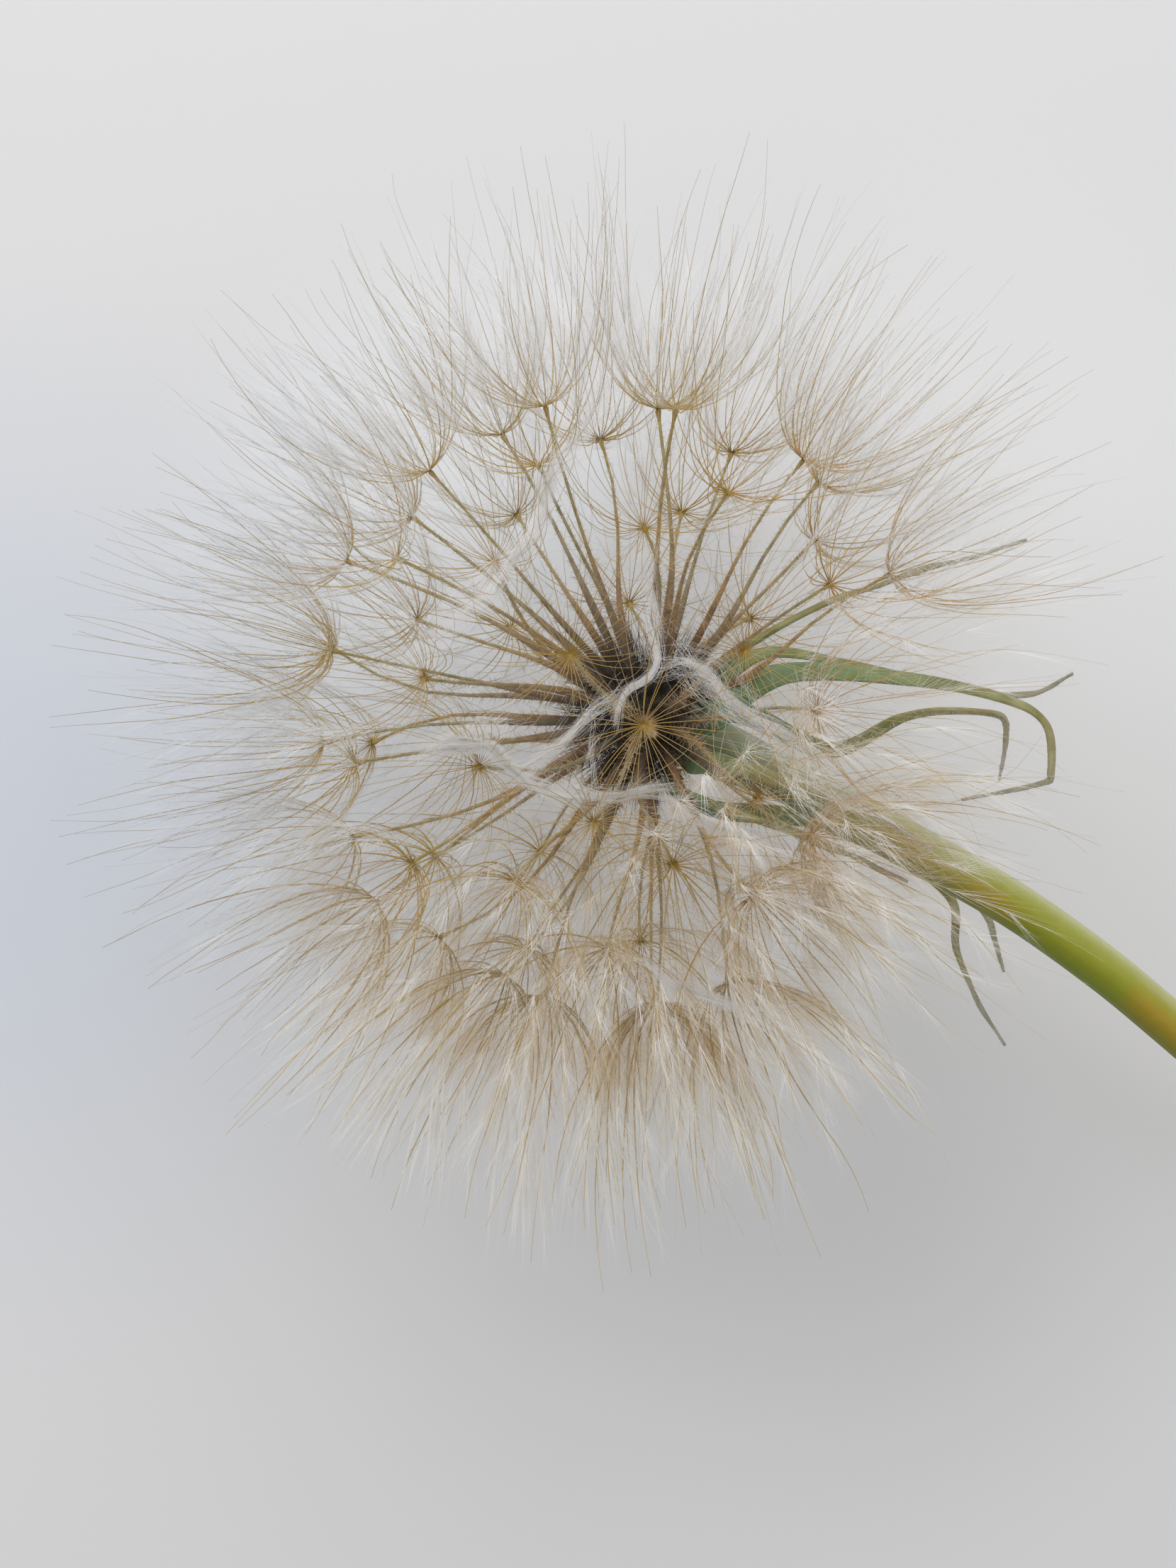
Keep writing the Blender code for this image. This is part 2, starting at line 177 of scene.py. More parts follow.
# Triangles in one piece of side hairs, and steps of a bristle's or a seed's line
HAIR_PIECE = 150000
ROUTE_STEPS = 26
# The least height over the floor, and how far bristles reach: to both sides in X and in Y, and up
LOWEST = 0.15 * MM
REACH = (87.9 * MM, 70.7 * MM, 109.2 * MM)

# Seeds: share of a seed's length, and its radius there in mm
SEED_RADII = (
    (0.0, 0.30), (0.06, 0.38), (0.14, 0.42), (0.24, 0.42), (0.33, 0.37), (0.41, 0.29), (0.50, 0.21),
    (0.64, 0.175), (0.82, 0.16), (0.95, 0.15), (0.975, 0.23), (0.99, 0.31), (1.0, 0.22),
)
BODY_SIDES = 10
RIB_DEPTH = 0.09
SEED_KINDS = 4
BODY_HAIRS = 290
BODY_HAIR_LENGTH = 1.1 * MM
BODY_HAIR_RADIUS = 0.041 * MM
# Hair round the core: how far out its roots are, in root distances, and its lengths in mm
CORE_HAIRS = 3400
CORE_HAIR_RADIUS = 0.045 * MM
CORE_ROOTS = (0.95, 2.15)
CORE_LENGTHS = (1.8, 4.6)
CORE_LEAN = 0.22

# Strands of felted hair across the front
STRAND_HEIGHT = 30.0 * MM
STRAND_HAIR_RADIUS = 0.010 * MM
STRAND_STEPS = 40
STRAND_CLUMPS = 9
FIBRE_CUTS = 5
FIBRE_STEPS = 9
FIBRE_LENGTHS = (3.5, 10)
FIBRE_ACROSS = (0.3, 0.2, 0.9)
# Each strand's middle line in photograph pixels, its half width in mm, and its fibres
STRANDS = (
    (((914, 866), (922, 896), (930, 932), (914, 957), (884, 974), (872, 996), (866, 1024)), 0.72, 260),
    (((596, 1046), (640, 1050), (690, 1054), (716, 1082), (764, 1112), (812, 1125), (836, 1128)), 1.0, 560),
    (((800, 1120), (852, 1126), (896, 1116), (950, 1106)), 0.75, 330),
    (((850, 560), (812, 620), (776, 668), (770, 712), (740, 770), (700, 816), (646, 872), (560, 930)),
     1.9, 800),
    (((926, 944), (964, 932), (998, 948), (1020, 978), (1060, 1010), (1120, 1040), (1170, 1090)), 0.95, 330),
    (((944, 1140), (990, 1160), (1038, 1174), (1080, 1180), (1124, 1172)), 1.2, 280),
    (((720, 1010), (670, 1034), (620, 1056), (580, 1080)), 2.2, 280),
    (((880, 976), (838, 1000), (792, 1050), (740, 1090), (700, 1104)), 1.3, 190),
    (((890, 1350), (948, 1388), (1032, 1414), (1120, 1434)), 1.1, 240),
    (((850, 1012), (832, 1052), (838, 1104), (828, 1165)), 1.6, 26),
    (((950, 930), (1030, 990), (1120, 1060), (1230, 1140)), 2.6, 330),
    (((896, 780), (922, 850), (934, 905)), 1.3, 90),
)

# Loose bunches of white hair at the lower rim: start and end in photograph pixels, then in mm their height
# above the head's centre and their half width, and their wisps
BUNCHES = (
    ((570, 1480), (486, 1620), 8, 1.6, 30), ((628, 1500), (596, 1690), 9, 1.5, 20),
    ((750, 1560), (744, 1760), 8, 1.6, 26), ((850, 1560), (880, 1770), 8, 2.4, 26),
    ((1010, 1470), (1048, 1660), 10, 1.6, 34), ((1130, 1300), (1240, 1440), 10, 1.8, 12),
    ((690, 1520), (660, 1700), 7, 1.8, 14), ((940, 1500), (985, 1700), 8, 2.0, 18),
    ((520, 1380), (420, 1500), 6, 1.6, 8), ((1060, 1080), (1290, 1200), 14, 1.6, 16),
)
WISP_HAIRS = 11
WISP_HAIR_LENGTHS = (4, 9)
BUNCH_HAIR_RADIUS = 0.028 * MM
BUNCH_DROP = 4
BUNCH_FAN = 22 * MM

# Noise in the colours: the range in which it darkens one, and its scale where two wander into each other
PATCH_RANGE = (0.35, 0.7)
WANDER_SCALE = 110

# A soft square light from the photograph's top, and an even surround
KEY_OFFSET = Vector((-0.05, 0.28, 0.33))
KEY_SIZE = 0.5
KEY_POWER = 1.15
KEY_COLOUR = (1.0, 0.99, 0.975)
SURROUND_COLOUR = (0.975, 0.98, 1.0, 1)
SURROUND_STRENGTH = 0.57

# The floor's colour, and its painted light and shade: the middle of each place and its radius in metres, and
# its colour
FLOOR_SIZE = 8
FLOOR_DROP = 0.05 * MM
FLOOR_COLOUR = (0.82, 0.82, 0.825)
FLOOR_LIGHT_AND_SHADE = (
    ((-0.105, 0, 0), 0.075, (0.70, 0.745, 0.82)), ((-0.045, 0.032, 0), 0.045, (0.92, 0.945, 0.985)),
    ((0.006, -0.049, 0), 0.045, (0.733, 0.733, 0.74)), ((0.018, 0.036, 0), 0.055, (0.89, 0.89, 0.895)),
)


def axis_frame():
    """The head's axis towards the pole, the way across it that points most nearly up, and its side."""
    level = math.cos(AXIS_RISE)
    pole = Vector((level * math.cos(AXIS_HEADING), level * math.sin(AXIS_HEADING), math.sin(AXIS_RISE)))
    above = (Vector((0, 0, 1)) - pole * pole.z).normalized()
    side = pole.cross(above).normalized()
    return pole, above, side


POLE, ABOVE, SIDE = axis_frame()
DOME_CENTRE = HEAD_CENTRE - POLE * DOME_DEPTH


def smooth_route(points, count):
    """Evenly numbered points on a smooth curve through the given ones."""
    ends = [points[0] * 2 - points[1]] + list(points) + [points[-1] * 2 - points[-2]]
    route = []
    for step in range(count):
        place = step / (count - 1) * (len(points) - 1)
        span = min(int(place), len(points) - 2)
        t = place - span
        before, start, end, after = ends[span:span + 4]
        bend = (before * 2 - start * 5 + end * 4 - after) * t * t
        twist = (start * 3 - before - end * 3 + after) * t * t * t
        route.append((start * 2 + (end - before) * t + bend + twist) / 2)
    return route


def hub_directions():
    """Directions of the hubs from the head's centre: a spiral, facing hubs held and the rest pushed apart."""
    turn = math.pi * (3 - math.sqrt(5))
    rows = []
    for number in range(SEEDS):
        rise = 1 - (number + 0.5) / SEEDS * (1 - math.cos(CAP_EDGE))
        out = math.sqrt(1 - rise ** 2)
        rows.append(POLE * rise + (ABOVE * math.cos(number * turn) + SIDE * math.sin(number * turn)) * out)
    points = np.array(rows)
    reach = HUB_DISTANCE / MM
    free = np.ones(SEEDS, dtype=bool)
    for x, y in FACING_HUBS:
        held = np.array((x, y, math.sqrt(reach ** 2 - x ** 2 - y ** 2))) / reach
        nearest = int(np.argmax(np.where(free, points @ held, -2)))
        points[nearest] = held
        free[nearest] = False
    clear_of = []
    for route in BRACT_ROUTES:
        curve = smooth_route([Vector(point) * MM for point in route], CLEARANCE_STEPS)
        clear_of.append(min(curve, key=lambda point: abs(point.length - HUB_DISTANCE)).normalized())
    pole = np.array(POLE)
    for _ in range(RELAX_STEPS):
        others = np.vstack([points, np.array(clear_of)])
        away = points[:, None, :] - others[None, :, :]
        gaps = np.linalg.norm(away, axis=2) + 1e-6
        push = (away / gaps[:, :, None] ** 4).sum(axis=1) * RELAX_RATE
        push -= (push * points).sum(axis=1, keepdims=True) * points
        size = np.linalg.norm(push, axis=1, keepdims=True) + 1e-9
        push *= np.minimum(1, RELAX_LIMIT / size)
        points[free] += push[free]
        points /= np.linalg.norm(points, axis=1, keepdims=True)
        low = free & (points @ pole < math.cos(CAP_EDGE))
        flat = points - (points @ pole)[:, None] * pole
        flat /= np.linalg.norm(flat, axis=1, keepdims=True)
        points[low] = (pole * math.cos(CAP_EDGE) + flat * math.sin(CAP_EDGE))[low]
    return points


def deselect():
    """Nothing selected, in object mode."""
    if bpy.context.object and bpy.context.object.mode != "OBJECT":
        bpy.ops.object.mode_set(mode="OBJECT")
    bpy.ops.object.select_all(action="DESELECT")


def select_in_edit(kind, test):
    """Select, in edit mode, the faces, edges or vertices that pass a test."""
    mesh = bmesh.from_edit_mesh(bpy.context.object.data)
    bpy.ops.mesh.select_all(action="DESELECT")
    bpy.ops.mesh.select_mode(type={"verts": "VERT", "edges": "EDGE", "faces": "FACE"}[kind])
    for element in getattr(mesh, kind):
        if test(element):
            element.select_set(True)
    bmesh.update_edit_mesh(bpy.context.object.data)


def is_lengthwise(edge):
    """True for an edge that runs along Z."""
    return abs(edge.verts[0].co.z - edge.verts[1].co.z) > 1e-9


def taken_apart():
    """The active object's points, triangles and marks: place along Z, and tint. The object is removed."""
    model = bpy.context.object
    bpy.ops.object.mode_set(mode="OBJECT")
    mesh = model.data
    mesh.calc_loop_triangles()
    points = np.zeros(len(mesh.vertices) * 3)
    mesh.vertices.foreach_get("co", points)
    matrix = np.array(model.matrix_world)
    points = points.reshape(-1, 3) @ matrix[:3, :3].T + matrix[:3, 3]
    triangles = np.zeros(len(mesh.loop_triangles) * 3, dtype=np.int64)
    mesh.loop_triangles.foreach_get("vertices", triangles)
    bpy.data.objects.remove(model)
    return points, triangles.reshape(-1, 3), np.stack([points[:, 2], np.full(len(points), 0.5)], axis=1)


def gathered(shapes):
    """Several shapes as one."""
    counts = np.cumsum([0] + [len(points) for points, _, _ in shapes])
    return (np.vstack([points for points, _, _ in shapes]),
            np.vstack([triangles + count for (_, triangles, _), count in zip(shapes, counts)]),
            np.vstack([marks for _, _, marks in shapes]))


def bent(shape, route, across, tint=None, thickness=1.0):
    """A straight shape, Z from 0 to 1, laid along a route with its X axis nearest the across way."""
    points, triangles, marks = shape
    route = np.asarray(route, dtype=float)
    runs = np.gradient(route, axis=0)
    place = points[:, 2] * (len(route) - 1)
    first = np.clip(np.floor(place).astype(int), 0, len(route) - 2)
    part = np.clip(place - first, 0, 1)[:, None]
    past = (place - first)[:, None] - part
    middle = route[first] * (1 - part) + route[first + 1] * part
    ahead = runs[first] * (1 - part) + runs[first + 1] * part
    middle = middle + ahead * past
    ahead = ahead / np.linalg.norm(ahead, axis=1, keepdims=True)
    across = np.broadcast_to(np.asarray(across, dtype=float), ahead.shape)
    across = across - (across * ahead).sum(axis=1, keepdims=True) * ahead
    across = across / np.linalg.norm(across, axis=1, keepdims=True)
    other = np.cross(ahead, across)
    placed = middle + across * points[:, :1] * thickness + other * points[:, 1:2] * thickness
    placed[:, 2] = np.maximum(placed[:, 2], LOWEST)
    if tint is not None:
        marks = np.stack([marks[:, 0], np.full(len(marks), tint)], axis=1)
    return placed, triangles, marks


def finished(name, shape, material, nodes=("seed_head",), smooth=True):
    """One piece of the object, from its points and triangles, with the marks that its colours follow."""
    points, triangles, marks = shape
    mesh = bpy.data.meshes.new(name)
    mesh.from_pydata(points.tolist(), [], triangles.tolist())
    mesh.attributes.new("along", "FLOAT", "POINT").data.foreach_set("value", marks[:, 0].copy())
    mesh.attributes.new("tint", "FLOAT", "POINT").data.foreach_set("value", marks[:, 1].copy())
    mesh.materials.append(material)
    if smooth:
        mesh.shade_smooth()
    piece = bpy.data.objects.new(name, mesh)
    bpy.context.scene.collection.objects.link(piece)
    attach(piece, "root")
    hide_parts(*nodes)


def straight_fibre(base, tip, cuts):
    """A three-sided fibre along Z that thins to its tip, cut across so that it can be laid in a curve."""
    deselect()
    bpy.ops.mesh.primitive_cone_add(vertices=3, radius1=base, radius2=tip, depth=1, location=(0, 0, 0.5))
    bpy.ops.object.mode_set(mode="EDIT")
    select_in_edit("edges", is_lengthwise)
    bpy.ops.mesh.subdivide(number_cuts=cuts)
    return taken_apart()


def straight_hair(length, radius):
    """A hair: a slim three-sided cone along X from the origin."""
    deselect()
    bpy.ops.mesh.primitive_cone_add(vertices=3, radius1=radius, radius2=0, depth=length,
                                    location=(length / 2, 0, 0), rotation=(0, math.pi / 2, 0))
    return taken_apart()


def standing_hair(hair, share, length, out, size, turn, lift):
    """A hair that stands off a straight shape: where along it, how far out, how long, and its two angles."""
    points, triangles, marks = hair
    away = out + points[:, 0] * size * math.cos(lift)
    x = away * math.cos(turn) - points[:, 1] * math.sin(turn)
    y = away * math.sin(turn) + points[:, 1] * math.cos(turn)
    z = share + (points[:, 2] + points[:, 0] * size * math.sin(lift)) / length
    own = np.stack([np.full(len(points), share), marks[:, 1]], axis=1)
    return np.stack([x, y, z], axis=1), triangles, own


def laid_hair(points, root, way, size, across):
    """A straight hair's points, laid from its root along a way and stretched."""
    return root + points[:, :1] * way * size + points[:, 1:2] * across[0] + points[:, 2:] * across[1]


def hairs_on_bristle(hair, draws):
    """Side hairs on a straight bristle: a web across the cup near its hub, then plumes towards its tip."""
    shapes = []
    for number in range(WEB_HAIRS):
        place = (number + draws.uniform(0, 1)) / WEB_HAIRS
        turn = draws.integers(2) * math.pi + draws.normal(0, 0.2)
        size = (0.30 + 0.45 * place) * draws.uniform(*WEB_SIZES)
        lift = draws.uniform(*WEB_LIFT) + 0.25 * place
        shapes.append(standing_hair(hair, WEB_START + WEB_SPAN * place, BRISTLE_LENGTH, 0, size, turn, lift))
    for tuft in range(PLUME_TUFTS):
        place = (tuft + draws.uniform(0, 1)) / PLUME_TUFTS
        tuft_turn = draws.uniform(0, 2 * math.pi)
        tuft_lift = draws.uniform(*PLUME_LIFT)
        for _ in range(PLUME_HAIRS):
            share = PLUME_START + PLUME_SPAN * place + draws.normal(0, 0.015)
            size = draws.uniform(*PLUME_SIZES)
            turn = tuft_turn + draws.normal(0, 0.5)
            lift = tuft_lift + draws.normal(0, 0.08)
            shapes.append(standing_hair(hair, share, BRISTLE_LENGTH, 0, size, turn, lift))
    return gathered(shapes)


def bristle_route(hub, outward, along, draws, laid_back):
    """A bristle's middle line: sideways from its hub, then turning to run outward, wavy towards its tip."""
    share = np.linspace(0, 1, ROUTE_STEPS)
    start = math.radians(draws.uniform(*HUB_RISE))
    end = math.radians(draws.uniform(*TIP_RISE)) * (1 - 0.68 * laid_back)
    turn = draws.uniform(*TURN_SHARE)
    rise = start + (end - start) * (1 - np.exp(-share / turn))
    rise += np.cumsum(draws.normal(0, 1, ROUTE_STEPS)) * BRISTLE_WAVE * share ** 0.5
    kink = np.cumsum(draws.normal(0, 1, ROUTE_STEPS)) * BRISTLE_KINK * np.clip(share - 0.5, 0, 1) ** 0.5
    drift = np.cumsum(draws.normal(0, 1, ROUTE_STEPS)) * BRISTLE_DRIFT + kink
    is_short = draws.uniform(0, 1) < SHORT_SHARE
    size = draws.uniform(*(SHORT_SIZES if is_short else LONG_SIZES))
    step = BRISTLE_LENGTH * size / (ROUTE_STEPS - 1)
    beside = np.cross(along, outward)
    ways = (np.cos(rise)[:, None] * (outward * np.cos(drift)[:, None] + beside * np.sin(drift)[:, None])
            + np.sin(rise)[:, None] * along)
    route = np.vstack([np.zeros(3), np.cumsum(ways[:-1] * step, axis=0)])
    fit = 1.0
    for axis, most in enumerate(REACH):
        furthest = route[:, axis].max()
        nearest = route[:, axis].min()
        if furthest > 1e-6:
            fit = min(fit, (most - hub[axis]) / furthest)
        if nearest < -1e-6 and axis < 2:
            fit = min(fit, (-most - hub[axis]) / nearest)
    return hub + route * fit


def share_past(value, start, span):
    """How far a value is past a start, as a share of a span and between 0 and 1."""
    return np.clip((value - start) / span, 0, 1)


def across_pair(direction):
    """Two ways square to a direction and to each other."""
    first = np.cross(direction, (0.0, 0.0, 1.0) if abs(direction[2]) < 0.9 else (1.0, 0.0, 0.0))
    first /= np.linalg.norm(first)
    return first, np.cross(direction, first)


def hair_layers(direction):
    """How many sets of side hair a parachute's bristles carry: few in front, where torn off, most below."""
    x, y, z = direction
    front = share_past(z, 0.30, 0.45)
    low = np.clip(0.40 - y * 0.9 + x * 0.6, 0.10, 1.0)
    bare = max(np.clip((0.93 - z) / 0.2, 0.03, 1), np.clip((x - y - 0.6) / 0.1, 0, 0.6))
    lower_right = np.clip(x * 0.9 - y * 0.8 - 0.45, 0, 0.7)
    return ((1 - front * (1 - low)) * 0.85 + lower_right) * bare


def bristle_tint(golden, draws):
    """A bristle's tint, from golden at 0 to pale at 1, with the share of them that is golden."""
    drawn = draws.uniform(0, 1) - golden
    if drawn < 0:
        return draws.uniform(0, 0.1)
    return draws.uniform(0.2, 0.45) if drawn < 0.3 else draws.uniform(0.6, 1)


def build_parachutes(hubs, directions, materials):
    """Every parachute: bristles fanned round each hub, with their side hairs."""
    draws = np.random.default_rng(SEED_OF_DRAWS + 1)
    bristle = straight_fibre(BRISTLE_BASE, BRISTLE_TIP, BRISTLE_CUTS)
    hair = straight_hair(SIDE_HAIR_LENGTH, SIDE_HAIR_RADIUS)
    kinds = [hairs_on_bristle(hair, draws) for _ in range(BRISTLE_KINDS)]
    bristles, hairs = [], []
    for hub, direction in zip(hubs, directions):
        along = direction + draws.normal(0, 0.07, 3)
        along /= np.linalg.norm(along)
        first, second = across_pair(along)
        spin = draws.uniform(0, 2 * math.pi)
        layers = hair_layers(direction)
        x, y, z = direction
        facing = share_past(z, 0.6, 0.2)
        golden = 0.32 + 0.34 * facing + 0.3 * np.clip((x - y) * 1.2 - 0.4, 0, 1)
        bold = 0.45 * share_past(-y, 0.3, 0.3)
        sweep = share_past(z, 0.8, 0.1) * (x > -0.05)
        count = BRISTLES + round(STAR_BRISTLES * facing)
        own_hairs = []
        for place in range(count):
            turn = spin + (place + draws.uniform(-0.35, 0.35)) * 2 * math.pi / count
            outward = first * math.cos(turn) + second * math.sin(turn)
            laid_back = sweep * np.clip(outward @ SWEEP, 0, 1) ** 0.5
            route = bristle_route(hub, outward, along, draws, laid_back)
            beside = np.cross(along, outward)
            tint = bristle_tint(golden, draws)
            thickness = (1.2 - 0.55 * tint) * (1 - 0.42 * facing) * (1 + bold * (tint < 0.1))
            bristles.append(bent(bristle, route, beside, tint, thickness))
            for _ in range(int(layers + draws.uniform(0, 1))):
                kind = kinds[int(draws.integers(BRISTLE_KINDS))]
                own_hairs.append(bent(kind, route, beside, draws.uniform(0, 1)))
        if own_hairs:
            hairs.append(gathered(own_hairs))
    finished("parachute_bristles", gathered(bristles), materials["bristle"])
    finish_side_hairs(hairs, materials)


def finish_side_hairs(shapes, materials):
    """The side hairs of all parachutes, in pieces with a limited number of triangles."""
    groups = [[]]
    for shape in shapes:
        used = sum(len(triangles) for _, triangles, _ in groups[-1])
        if used + len(shape[1]) > HAIR_PIECE:
            groups.append([])
        groups[-1].append(shape)
    for number, group in enumerate(groups):
        finished(f"parachute_hairs_{number + 1}", gathered(group), materials["hair"], smooth=False)


def straight_seed():
    """A seed along Z: ribbed body, thin beak and small hub, as a disc pulled out ring by ring."""
    deselect()
    bpy.ops.mesh.primitive_circle_add(vertices=BODY_SIDES, radius=SEED_RADII[0][1] * MM, fill_type="NGON",
                                      location=(0, 0, 0))
    bpy.ops.object.mode_set(mode="EDIT")
    for (share, radius), (next_share, next_radius) in zip(SEED_RADII, SEED_RADII[1:]):
        bpy.ops.mesh.extrude_region_move(TRANSFORM_OT_translate={"value": (0, 0, next_share - share)})
        size = next_radius / radius
        bpy.ops.transform.resize(value=(size, size, 1))
    bpy.ops.mesh.select_all(action="SELECT")
    bpy.ops.mesh.normals_make_consistent(inside=False)
    points, triangles, marks = taken_apart()
    angle = np.arctan2(points[:, 1], points[:, 0])
    ribs = 1 + RIB_DEPTH * np.cos(angle * BODY_SIDES / 2) * (points[:, 2] < 0.5)
    points[:, :2] *= ribs[:, None]
    return points, triangles, marks


def seed_hairs(draws):
    """Short hairs that stand off a straight seed's body and, more thinly, its beak."""
    hair = straight_hair(BODY_HAIR_LENGTH, BODY_HAIR_RADIUS)
    shares = [row[0] for row in SEED_RADII]
    radii = [row[1] * MM for row in SEED_RADII]
    shapes = []
    for number in range(BODY_HAIRS):
        share = 0.02 + 0.93 * ((number + draws.uniform(0, 1)) / BODY_HAIRS) ** 1.15
        size = draws.uniform(0.5, 1.3) * (1.0 if share < 0.45 else 0.5)
        out = float(np.interp(share, shares, radii)) * 0.9
        shapes.append(standing_hair(hair, share, HUB_DISTANCE - ROOT_DISTANCE, out, size,
                                    draws.uniform(0, 2 * math.pi), draws.uniform(0.1, 1.0)))
    return gathered(shapes)


def build_seeds(hubs, materials):
    """Every seed, from the dome to its hub, each with a slight bend of its own."""
    draws = np.random.default_rng(SEED_OF_DRAWS + 2)
    seed = straight_seed()
    kinds = [seed_hairs(draws) for _ in range(SEED_KINDS)]
    bodies, hairs = [], []
    centre = np.array(DOME_CENTRE)
    share = np.linspace(0, 1, ROUTE_STEPS)[:, None]
    for number in range(SEEDS):
        along = hubs[number] - centre
        along /= np.linalg.norm(along)
        first, second = across_pair(along)
        bow = (first * draws.normal(0, 1.1) + second * draws.normal(0, 1.1)) * MM
        sway = (first * draws.normal(0, 0.4) + second * draws.normal(0, 0.4)) * MM
        root = centre + along * ROOT_DISTANCE
        route = root + (hubs[number] - root) * share
        route = route + bow * np.sin(np.pi * share) + sway * np.sin(2 * np.pi * share)
        tint = draws.uniform(0, 1)
        bodies.append(bent(seed, route, first, tint, draws.uniform(0.9, 1.12)))
        hairs.append(bent(kinds[number % SEED_KINDS], route, first, tint))
    finished("seeds", gathered(bodies), materials["seed"])
    finished("seed_hairs", gathered(hairs), materials["seed_hair"], smooth=False)


def build_core_hairs(materials):
    """Dark hair that fills the room between the seeds' bodies round the dome."""
    draws = np.random.default_rng(SEED_OF_DRAWS + 5)
    points, triangles, _ = straight_hair(1.0 * MM, CORE_HAIR_RADIUS)
    pole = np.array(POLE)
    shapes = []
    while len(shapes) < CORE_HAIRS:
        way = draws.normal(0, 1, 3)
        way /= np.linalg.norm(way)
        if way @ pole < math.cos(CAP_EDGE):
            continue
        across = across_pair(way)
        root = np.array(DOME_CENTRE) + way * ROOT_DISTANCE * draws.uniform(*CORE_ROOTS)
        lean = way + across[0] * draws.normal(0, CORE_LEAN) + across[1] * draws.normal(0, CORE_LEAN)
        lean /= np.linalg.norm(lean)
        placed = laid_hair(points, root, lean, draws.uniform(*CORE_LENGTHS), across)
        marks = np.stack([points[:, 0] / MM, np.full(len(points), draws.uniform())], axis=1)
        shapes.append((placed, triangles, marks))
    finished("core_hairs", gathered(shapes), materials["core_hair"], smooth=False)


def photo_point(x, y, height):
    """The place at a height over the head's centre that the photograph shows at a pixel."""
    size = PHOTO_SCALE * (1 - height / CAMERA_DISTANCE)
    right = (x - PHOTO_SIZE[0] / 2) * size + PHOTO_ASIDE
    up = (PHOTO_SIZE[1] / 2 - y) * size - PHOTO_BELOW
    return HEAD_CENTRE + Vector((right, up, height))


def build_strands(materials):
    """Torn side hair, felted in strands that are caught between the parachutes in front."""
    draws = np.random.default_rng(SEED_OF_DRAWS + 4)
    fibre = straight_fibre(STRAND_HAIR_RADIUS, STRAND_HAIR_RADIUS * 0.5, FIBRE_CUTS)
    shapes = []
    for corners, half_width, fibres in STRANDS:
        path = [photo_point(x, y, STRAND_HEIGHT + draws.normal(0, 0.8) * MM) for x, y in corners]
        path = np.array(smooth_route(path, STRAND_STEPS))
        length = np.linalg.norm(np.diff(path, axis=0), axis=1).sum()
        clumps = [(draws.normal(0, 0.6, 3), draws.uniform(0, 2 * math.pi, 3), draws.uniform(0.2, 0.6))
                  for _ in range(STRAND_CLUMPS)]
        for _ in range(fibres):
            part = min(0.85, draws.uniform(*FIBRE_LENGTHS) * MM / length)
            first = draws.uniform(-0.04, 1.04 - part) * (STRAND_STEPS - 1)
            where = np.linspace(first, first + part * (STRAND_STEPS - 1), FIBRE_STEPS)
            line = [np.interp(where, np.arange(STRAND_STEPS), path[:, axis]) for axis in range(3)]
            line = np.stack(line, axis=1)
            run = (where / (STRAND_STEPS - 1))[:, None]
            spread = half_width * (0.6 + 0.9 * (run * 2 - 1) ** 2)
            size, phase, pace = clumps[int(draws.integers(STRAND_CLUMPS))]
            weave = size * np.sin(phase + pace * run * length / MM) * spread
            loose = draws.normal(0, 0.16 if draws.uniform(0, 1) < 0.85 else 0.8, 3) * spread
            curl = np.cumsum(draws.normal(0, 0.07, (FIBRE_STEPS, 3)), axis=0)
            line = line + (weave + loose + curl - curl.mean(axis=0)) * MM
            shapes.append(bent(fibre, line, FIBRE_ACROSS))
    finished("torn_hair", gathered(shapes), materials["torn_hair"], smooth=False)
    build_bunches(materials, draws)


def build_bunches(materials, draws):
    """Loose bunches of white hair at the lower rim, each a few wisps that run together."""
    points, triangles, marks = straight_hair(1.0 * MM, BUNCH_HAIR_RADIUS)
    shapes = []
    for start, end, height, half_width, wisps in BUNCHES:
        first = np.array(photo_point(*start, height * MM))
        way = np.array(photo_point(*end, (height - BUNCH_DROP) * MM)) - first
        length = np.linalg.norm(way)
        beside, above = across_pair(way / length)
        for _ in range(wisps):
            aside = draws.normal(0, half_width * 0.8, 2) * MM
            fan = draws.normal(0, 0.10) + aside[0] / BUNCH_FAN
            lean = way / length + beside * fan + above * draws.normal(0, 0.10)
            root = first + beside * aside[0] + above * aside[1] + way * draws.uniform(-0.05, 0.25)
            bend = draws.normal(0, 0.012, 2)
            for _ in range(WISP_HAIRS):
                place = draws.uniform(0, 0.5) * length
                own = lean + beside * (draws.normal(0, 0.015) + bend[0] * place / MM)
                own = own + above * (draws.normal(0, 0.015) + bend[1] * place / MM)
                off = (beside * draws.normal(0, 0.05) + above * draws.normal(0, 0.05)) * MM
                spot = root + lean * place + off
                placed = laid_hair(points, spot, own, draws.uniform(*WISP_HAIR_LENGTHS), (beside, above))
                placed[:, 2] = np.maximum(placed[:, 2], LOWEST)
                shapes.append((placed, triangles, marks))
    finished("rim_bunches", gathered(shapes), materials["bunch"], smooth=False)


def build_dome(materials):
    """The receptacle that the seeds stand on, faintly grained."""
    deselect()
    bpy.ops.mesh.primitive_uv_sphere_add(segments=32, ring_count=20, radius=DOME_RADIUS)
    points, triangles, marks = taken_apart()
    points[:, 2] = np.maximum(points[:, 2] * DOME_HALF_HEIGHT / DOME_RADIUS, DOME_DEPTH - DOME_FLAT)
    grain = np.sin(points * GRAIN_PACE).prod(axis=1)
    points *= 1 + GRAIN_HEIGHT * grain[:, None]
    turned = points @ np.array([ABOVE, SIDE, POLE])
    shape = (turned + np.array(DOME_CENTRE), triangles, marks)
    finished("receptacle", shape, materials["receptacle"])


